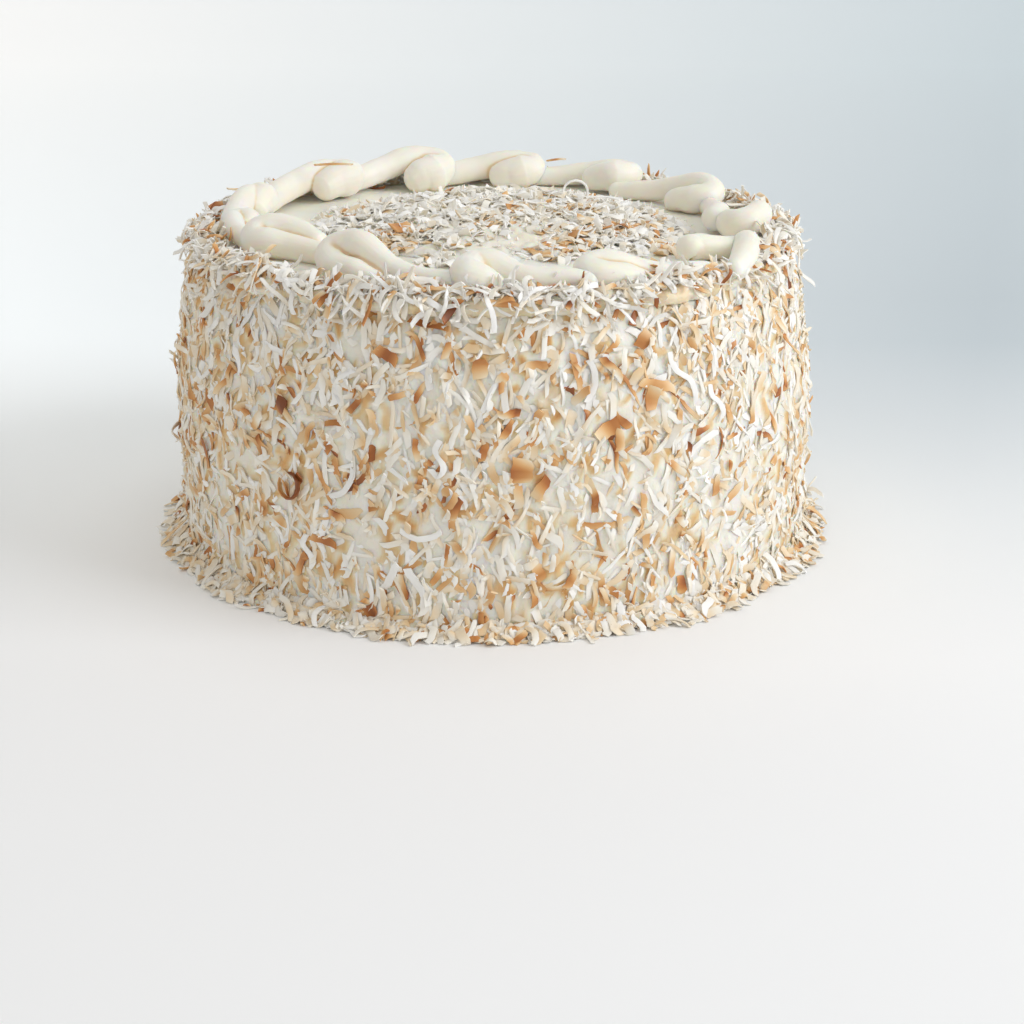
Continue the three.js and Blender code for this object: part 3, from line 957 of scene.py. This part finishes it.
def scatterHeap(name, forms, seed, count, toast, material, grouped=0.0, longs=(0.45, 0.8)):
    rng = np.random.default_rng(seed)
    angle = rng.uniform(0, fullTurn, 2 * count)
    reach = np.sqrt(rng.uniform(0, 1, 2 * count)) * (heapForm["radius"] + 2.4 * uneven(angle, 0))
    together = rng.random(2 * count) < grouped
    group = np.array(toastedGroups, float)[rng.integers(0, len(toastedGroups), 2 * count)]
    near = group + rng.normal(0, heapForm["groupSpread"], (2 * count, 2))
    x = np.where(together, near[:, 0], reach * np.cos(angle))
    y = np.where(together, near[:, 1], reach * np.sin(angle))
    front = np.clip((-y - 18 + 4 * np.sin(0.13 * x)) / 22, 0, 1)
    left = np.clip((-x - 30) / 20, 0, 1) * 0.6
    patch = 0.5 + 0.5 * np.sin(0.21 * x + 1.0 + 0.05 * y) * np.sin(0.24 * y - 0.07 * x + 2.0)
    keep = 1 - heapForm["thinFront"] * np.maximum(front, left) - 0.35 * patch
    kept = together | (rng.random(2 * count) < keep)
    x, y, front = x[kept][:count], y[kept][:count], front[kept][:count]
    count = len(x)
    share = np.hypot(x - heapForm["middle"][0], y - heapForm["middle"][1]) / heapForm["radius"]
    level = heapForm["height"] * np.clip(2.2 * (1 - share), 0.12, 1) * (1 - 0.6 * front)
    lumps = heapForm["lumps"] * np.sin(0.5 * x + 0.8 * np.sin(0.3 * y)) * np.sin(0.55 * y + 1.5)
    height = cakeTop / mm + 0.3 + level * rng.uniform(0.6, 1.1, count) + np.maximum(lumps, 0) * level / 3
    swing = rng.uniform(0, fullTurn, count)
    loose = rng.random(count) < heapForm["looseShare"]
    tilt = np.where(loose, rng.normal(0, heapForm["looseTilt"], count),
                    rng.normal(0, heapForm["tilt"], count))
    strewLying(name, forms, rng, np.stack([x, y, height], axis=1) * mm, heading(swing),
               upwards(count), tilt, heapForm["roll"], toast, longs, (0.75, 1.25), material)


modelHeapCore()
scatterHeap("heap_raw_shreds", broad * 2 + curly + ribbons[3:5], 41, 1650, (0.08, 0.05), rawMaterial)
scatterHeap("heap_toasted_flakes", flakes + broad, 42, 460, (0.42, 0.15), toastedMaterial,
            heapForm["grouped"], (0.5, 0.9))
scatterHeap("heap_coconut_crumbs", crumbs, 43, 700, (0.1, 0.12), rawMaterial, longs=(0.7, 1.2))

# Single pieces on the heap, the rim and the border: form, x, y and z in mm, bearing from +X in
# plan, toast, and what differs from long 1, wide 1 and tilt 0
topStandOuts = [
    ("ring", 27, 31, 102.5, 8, 0.02, {"long": 1.05, "wide": 0.8}),
    ("stick", -54, 43, 108.9, 4, 0.6, {"long": 1.35, "wide": 0.75}),
    ("stick", 22, 80, 104.2, 25, 0.7, {"long": 0.8, "wide": 0.7}),
    ("stick", -86, 44, 100.5, 12, 0.6, {"long": 0.9, "wide": 0.7}),
    ("chip", -89, 17, 99.5, 60, 0.75, {"wide": 0.7, "tilt": 40}),
    ("chip", -89, 6, 98.5, -30, 0.85, {"wide": 0.6, "tilt": -30}),
    ("stick", -2, -2, 100.3, 35, 0.75, {"long": 1.1}),
    ("chip", 8, 6, 100.8, 10, 0.5, {"tilt": 25}),
    ("chip", -28, -18, 100.2, 40, 0.6, {"wide": 0.8, "tilt": 20}),
    ("strand", 33, 24, 101.4, -20, 0.03, {}),
    ("arc", -8, -24, 98.5, 15, 0.04, {}),
]


def placeOnTop(name, rows, seed):
    given = np.array([row[1:5] for row in rows], float)
    along = heading(np.radians(given[:, 3]))
    outward = turnAbout(upwards(len(rows)), along, np.radians(extra(rows, "tilt", 0)))
    strewPlaced(name, rows, seed, given[:, :3] * mm, along, outward)


placeOnTop("top_standing_out", topStandOuts, 16)


# Every curl is one rope: its hook lies beside the head, turns back over itself at the
# head and runs on as the stem into a thin tail. Lengths in mm, angles in degrees.
usualCurl = {
    "ring": 80,  # distance of the head from the cake's middle
    "yaw": 0,  # how far the stem turns outwards from the ring
    "reach": 34,  # head to the end of the tail
    "hook": 11,  # length of the hook
    "hookLift": 4.5,  # height of its middle over the cake's top
    "lean": 5,  # how far the turn reaches back from the head
    "spread": 7,  # hook to stem, side by side
    "crest": 7,  # height of the stem's middle at the head
    "crestAt": 0.12,  # share of the reach at which it is that high
    "rope": 4.3,  # radius at the head
    "tail": 3.2,  # radius at the tail
    "fold": 1,  # 1 with the hook outside, -1 with it inside
    "fall": 0.62,  # share of the reach at which the stem is down
    "tip": 0.55,  # radius of the hook's end, of the rope's
    "plump": 1.0,  # radius of the hook, of the rope's
    "closing": 0.0,  # how far the hook's end bends back to the stem
    "veer": 0,  # how far the tail bends away from the hook
}
curls = [
    dict(heading=-153, ring=76, yaw=-32, reach=30, hook=18, hookLift=7.0, lean=3, spread=7.2,
         crest=4.8, fold=-1, rope=4.7, tip=0.7, closing=0.45, plump=1.1, veer=9),
    dict(heading=-123, ring=76, yaw=14, reach=38, hook=15, hookLift=4.3, lean=6, spread=6.5,
         crest=9.3, crestAt=0.09, rope=4.5, fall=0.5),
    dict(heading=-92.5, yaw=14, reach=29, hook=5, hookLift=4.6, lean=2, spread=9, crest=6.2,
         crestAt=0.04, rope=5.2, tail=3.6, tip=0.8, fall=0.38, plump=1.1),
    dict(heading=-68, ring=83, yaw=10, reach=32, lean=4, spread=5, crest=6.3, crestAt=0.08,
         rope=4.4, tail=2.8, fall=0.5),
    dict(heading=-37, ring=74, yaw=36, reach=17, hook=1, lean=1, spread=1, crest=4.6, rope=4.0,
         tail=3.4),
    dict(heading=-32, ring=88, yaw=158, reach=17, hook=0, hookLift=3.4, lean=8, spread=0, crest=3.9,
         rope=4.2),
    dict(heading=-6, ring=79, yaw=10, reach=16, hook=3, lean=7, spread=8, fold=-1, rope=4.6,
         tail=3.6),
    dict(heading=-3, ring=70, yaw=10, reach=30, hook=0, lean=1, spread=1, crest=5.6, fold=-1,
         rope=4.1),
    dict(heading=26, ring=76, yaw=-12, reach=36, hook=7, spread=7.5, crest=7.6, fold=-1, rope=4.4,
         tip=0.9, plump=1.1),
    dict(heading=57, reach=38, hook=8, hookLift=6.4, lean=4, spread=8, crest=6.5, fold=-1,
         plump=1.3, tip=1.0),
    dict(heading=84, hook=6, hookLift=5.5, spread=5, crest=7.6, fold=-1, rope=4.7, tail=3.8,
         fall=0.7, plump=1.25, tip=1.0),
    dict(heading=108, reach=37, hook=4, hookLift=5.8, lean=6, spread=7.5, crest=9.6, fold=-1,
         rope=4.7, tail=3.8, fall=0.7, plump=1.45, tip=1.15),
    dict(heading=133, reach=42, hook=8, hookLift=6.8, spread=6, crest=8.4, fold=-1, rope=4.7,
         tail=4.1, fall=0.7, plump=1.4, tip=1.1),
    dict(heading=162, ring=82, hook=4, hookLift=5.5, lean=4, spread=3, crest=6.5, fold=-1, tail=3.8,
         plump=1.25, tip=1.0),
    dict(heading=184, ring=79, reach=24, hook=3, lean=3, spread=5, crest=4.6, fold=-1, rope=3.6),
]

piping = {
    "voxel": 0.36,
    "smooth": 3,
    "sway": 0.5,
    "sink": 0.6,
    # the folds of each rope and its foot on the cake get painted shade
    "creaseReach": 40,  # rounds of smoothing that find the folds
    "creaseShadeRate": 0.9,  # how fast the painted shade in a fold turns deeper and warmer, per mm of hollow
    "creaseShadeMost": 0.24,
    "footShade": 0.16,
}


def ropePath(c):
    # along the stem, aside to the hook's side, lift over the cake's top, radius
    rope, tail, lift, crest, veer = c["rope"], c["tail"], c["hookLift"], c["crest"], c["veer"]
    side, lean, reach, fall, plump = c["spread"], c["lean"], c["reach"], c["fall"], c["plump"]
    return [
        (c["hook"], (0.6 - c["closing"]) * side, lift - 1.5, c["tip"] * rope),
        (0.55 * c["hook"], 0.6 * side, lift - 0.6, 0.85 * plump * rope),
        (-0.3 * lean, 0.5 * side, lift, plump * rope),
        (-lean, 0, (lift + crest) / 2, rope),
        (-0.3 * lean, -0.45 * side, 0.95 * crest, rope),
        (c["crestAt"] * reach, -0.5 * side, crest, 0.98 * rope),
        (0.58 * fall * reach, -0.42 * side, 0.55 * crest + 0.45 * tail, 0.65 * rope + 0.35 * tail),
        (fall * reach, -0.2 * side - 0.3 * veer, 0.15 * crest + 0.85 * tail, 0.3 * rope + 0.7 * tail),
        (0.85 * reach, -0.05 * side - 0.7 * veer, tail, tail),
        (reach, -veer, tail - 0.3, 0.9 * tail),
    ]


def roundedEnds(path):
    # small steps that close a rope with a round nose at both ends
    path = [np.array(point, float) for point in path]
    noses = []
    for end, inner in ((path[0], path[1]), (path[-1], path[-2])):
        outwards = (end[:3] - inner[:3]) / np.linalg.norm(end[:3] - inner[:3])
        noses.append([np.array([*(end[:3] + outwards * end[3] * step), end[3] * thin])
                      for step, thin in ((0.5, 0.87), (0.8, 0.6), (0.95, 0.31), (1.0, 0.03))])
    return noses[0][::-1] + path + noses[1]


def paintFoldShade(curl):
    # painted shade: folds, and where a rope lies on the cake, take a deeper and warmer tone
    points = getPoints(curl) / mm
    count = len(points)
    edges = np.empty(len(curl.data.edges) * 2, int)
    curl.data.edges.foreach_get("vertices", edges)
    a, b = edges.reshape(-1, 2).T
    normals = np.empty(count * 3)
    curl.data.vertices.foreach_get("normal", normals)
    degree = np.bincount(a, minlength=count) + np.bincount(b, minlength=count)
    smooth = points.copy()
    for _ in range(piping["creaseReach"]):
        total = [np.bincount(a, smooth[b, axis], count) + np.bincount(b, smooth[a, axis], count)
                 for axis in range(3)]
        smooth = 0.5 * smooth + 0.5 * np.stack(total, axis=1) / degree[:, None]
    hollow = np.sum((smooth - points) * normals.reshape(-1, 3), axis=1)
    # painted shade in the hollows of the folds
    fold = np.clip(hollow * piping["creaseShadeRate"], 0, piping["creaseShadeMost"])
    # painted shade at the foot, where the rope lies on the cake
    foot = piping["footShade"] * np.clip(1 - (points[:, 2] - cakeTop / mm) / 1.6, 0, 1)
    storeTint(curl, fold + foot)


def modelCurl(number, given):
    c = {**usualCurl, **given}
    path = roundedEnds(ropePath(c))
    yaw = math.radians(c["yaw"])
    deselectAll()
    bpy.ops.curve.primitive_bezier_curve_add()
    curl = bpy.context.object
    curl.name = "piped_rope_%02d" % number
    curve = curl.data
    curve.splines.clear()
    spline = curve.splines.new("BEZIER")
    spline.bezier_points.add(len(path) - 1)
    for point, (along, aside, lift, radius) in zip(spline.bezier_points, path):
        aside *= c["fold"]
        angle = math.radians(c["heading"]) + (along * math.cos(yaw) - aside * math.sin(yaw)) / c["ring"]
        reach = c["ring"] + along * math.sin(yaw) + aside * math.cos(yaw)
        point.co = (reach * math.cos(angle) * mm, reach * math.sin(angle) * mm, cakeTop + lift * mm)
        point.handle_left_type = point.handle_right_type = "AUTO"
        point.radius = radius
    curve.dimensions = "3D"
    curve.bevel_depth = mm
    curve.bevel_resolution = 8
    curve.resolution_u = 12
    curve.use_fill_caps = True
    bpy.ops.object.convert(target="MESH")
    curl = bpy.context.object
    applyModifier(curl, "REMESH", mode="VOXEL", voxel_size=piping["voxel"] * mm)
    applyModifier(curl, "SMOOTH", factor=0.5, iterations=piping["smooth"])
    lumpy(curl, "ropeSway%02d" % number, 7, piping["sway"], depth=1)
    edit()
    bpy.ops.mesh.select_all(action="SELECT")
    bpy.ops.mesh.bisect(plane_co=(0, 0, cakeTop - piping["sink"] * mm), plane_no=(0, 0, 1),
                        clear_inner=True, use_fill=True)
    edit("OBJECT")
    placeInMesh(curl)
    # painted shade: the rope's folds and its foot on the cake are coloured deeper and warmer
    paintFoldShade(curl)
    finishPiece(curl, pipingMaterial, ["piped_curl_%02d" % number])


for index, given in enumerate(curls):
    modelCurl(index + 1, given)
print("piped border modelled:", len(curls), "curls")

studio = {
    "floor": (249, 249, 248),
    "floorShadeRight": (203, 212, 216),  # painted shade: the paper turns darker and bluer beside the object on the right
    "wallLeft": (247, 247, 246),
    # painted shade: the wall turns darker and bluer towards the right
    "wallShadeRight": (230, 238, 242),
    "size": 5.0,  # of the paper on the floor, m
    "wallBend": 0.5,  # radius of the sweep between floor and wall, m
    "wallAt": 1.7,  # distance of the wall behind the object, m
    "glowLeft": (0.17, 0.2, 0.21),  # light that the paper gives off
    "glowRight": (0.0, 0.0, 0.0),
    "wallGlowLeft": (0.285, 0.285, 0.28),
    "wallGlowRight": (0.056, 0.07, 0.07),
    "origin": -0.6,  # where the tones fan out from, m in front of the object
    "skyStrength": 0.43,
}


def sweepMaterial():
    material, tree, shader = principled("palePaper")
    place = addNode(tree, "TexCoord", {})["Object"]
    split = addNode(tree, "SeparateXYZ", {"Vector": place})

    def ramped(value, start, end):
        given = {"Value": value, "From Min": start, "From Max": end}
        return addNode(tree, "MapRange", given)["Result"]

    def mixed(share, first, second):
        given = {"Factor": share, "A": first, "B": second}
        return addNode(tree, "Mix", given, data_type="RGBA")["Result"]

    ahead = addNode(tree, "Math", {0: split["Y"], 1: studio["origin"]}, operation="SUBTRACT")["Value"]
    fanned = addNode(tree, "Math", {0: split["X"], 1: ahead}, operation="DIVIDE")["Value"]
    toRight = ramped(fanned, -0.26, 0.26)
    beside = ramped(split["Y"], -0.12, 0.22)
    behind = ramped(split["Y"], 0.3, 1.2)
    tone, glow = {}, {}
    for name in ("floor", "floorShadeRight", "wallLeft", "wallShadeRight"):
        tone[name] = paint(*studio[name])
    for name in ("glowLeft", "glowRight", "wallGlowLeft", "wallGlowRight"):
        glow[name] = (*studio[name], 1)
    # painted shade on the right of the floor and wall, and the glow's added light on the left
    near = mixed(beside, tone["floor"], mixed(toRight, tone["floor"], tone["floorShadeRight"]))
    wall = mixed(toRight, tone["wallLeft"], tone["wallShadeRight"])
    nearGlow = mixed(beside, (0, 0, 0, 1), mixed(toRight, glow["glowLeft"], glow["glowRight"]))
    wallGlow = mixed(toRight, glow["wallGlowLeft"], glow["wallGlowRight"])
    feed(tree, shader, {"Base Color": mixed(behind, near, wall), "Roughness": 0.8,
                        "Emission Color": mixed(behind, nearGlow, wallGlow), "Emission Strength": 1})
    return material


def modelSweep():
    # a floor that bends up into the wall behind without an edge
    bend, back, size = studio["wallBend"], studio["wallAt"], studio["size"]
    deselectAll()
    bpy.ops.mesh.primitive_plane_add(size=size, location=(0, back - bend - size / 2, -0.02 * mm))
    sweep = bpy.context.object
    sweep.name = "floor"
    placeInMesh(sweep)
    selectRing(sweep, lambda co: co.y > back - bend - 0.01)
    steps = 16
    turned = [math.radians(90 * step / steps) for step in range(steps + 1)]
    for before, after in zip(turned[:-1], turned[1:]):
        ahead = bend * (math.sin(after) - math.sin(before))
        up = bend * (math.cos(before) - math.cos(after))
        bpy.ops.mesh.extrude_edges_move(TRANSFORM_OT_translate={"value": (0, ahead, up)})
    bpy.ops.mesh.extrude_edges_move(TRANSFORM_OT_translate={"value": (0, 0, 1.2)})
    edit("OBJECT")
    bpy.ops.object.shade_smooth()
    sweep.data.materials.append(sweepMaterial())


modelSweep()


# area lights: place, the spot each is aimed at, size in m, power and colour
lights = {
    "keyLight": ((1.27, -0.42, 0.8), (0, 0, 0.05), 0.9, 13.4, (0.97, 1.0, 1.06)),
    "fillLight": ((-0.6, -1.4, 0.9), (0, 0, 0.05), 1.2, 3.6, (0.98, 0.99, 1.0)),
    "topLight": ((0.05, 0.15, 1.5), (0, 0, 0.1), 1.0, 3.2, (1.0, 1.0, 1.0)),
}
for lightName, (place, target, size, power, colour) in lights.items():
    deselectAll()
    bpy.ops.object.light_add(type="AREA", location=place)
    light = bpy.context.object
    light.name = lightName
    light.data.size = size
    light.data.energy = power
    light.data.color = colour
    aim = np.array(target, float) - np.array(place, float)
    pitch = math.atan2(math.hypot(aim[0], aim[1]), -aim[2])
    light.rotation_euler = (pitch, 0, math.atan2(aim[1], aim[0]) - math.pi / 2)

world = bpy.data.worlds.new("studioWorld")
bpy.context.scene.world = world
world.use_nodes = True
feed(world.node_tree, world.node_tree.nodes["Background"],
     {"Color": (1.0, 0.98, 0.957, 1), "Strength": studio["skyStrength"]})

# place in mm, degrees downwards, and the lens in mm for a sensor 36 mm wide
camera = {"place": (6.0, -598.0, 219.7), "down": 20.15, "lens": 1905 / 1024 * 36}
deselectAll()
bpy.ops.object.camera_add(location=[c * mm for c in camera["place"]],
                          rotation=(math.radians(90 - camera["down"]), 0, 0))
view = bpy.context.object
view.data.lens = camera["lens"]
view.data.sensor_width = 36
bpy.context.scene.camera = view
bpy.context.scene.view_settings.view_transform = "Standard"
print("studio ready")
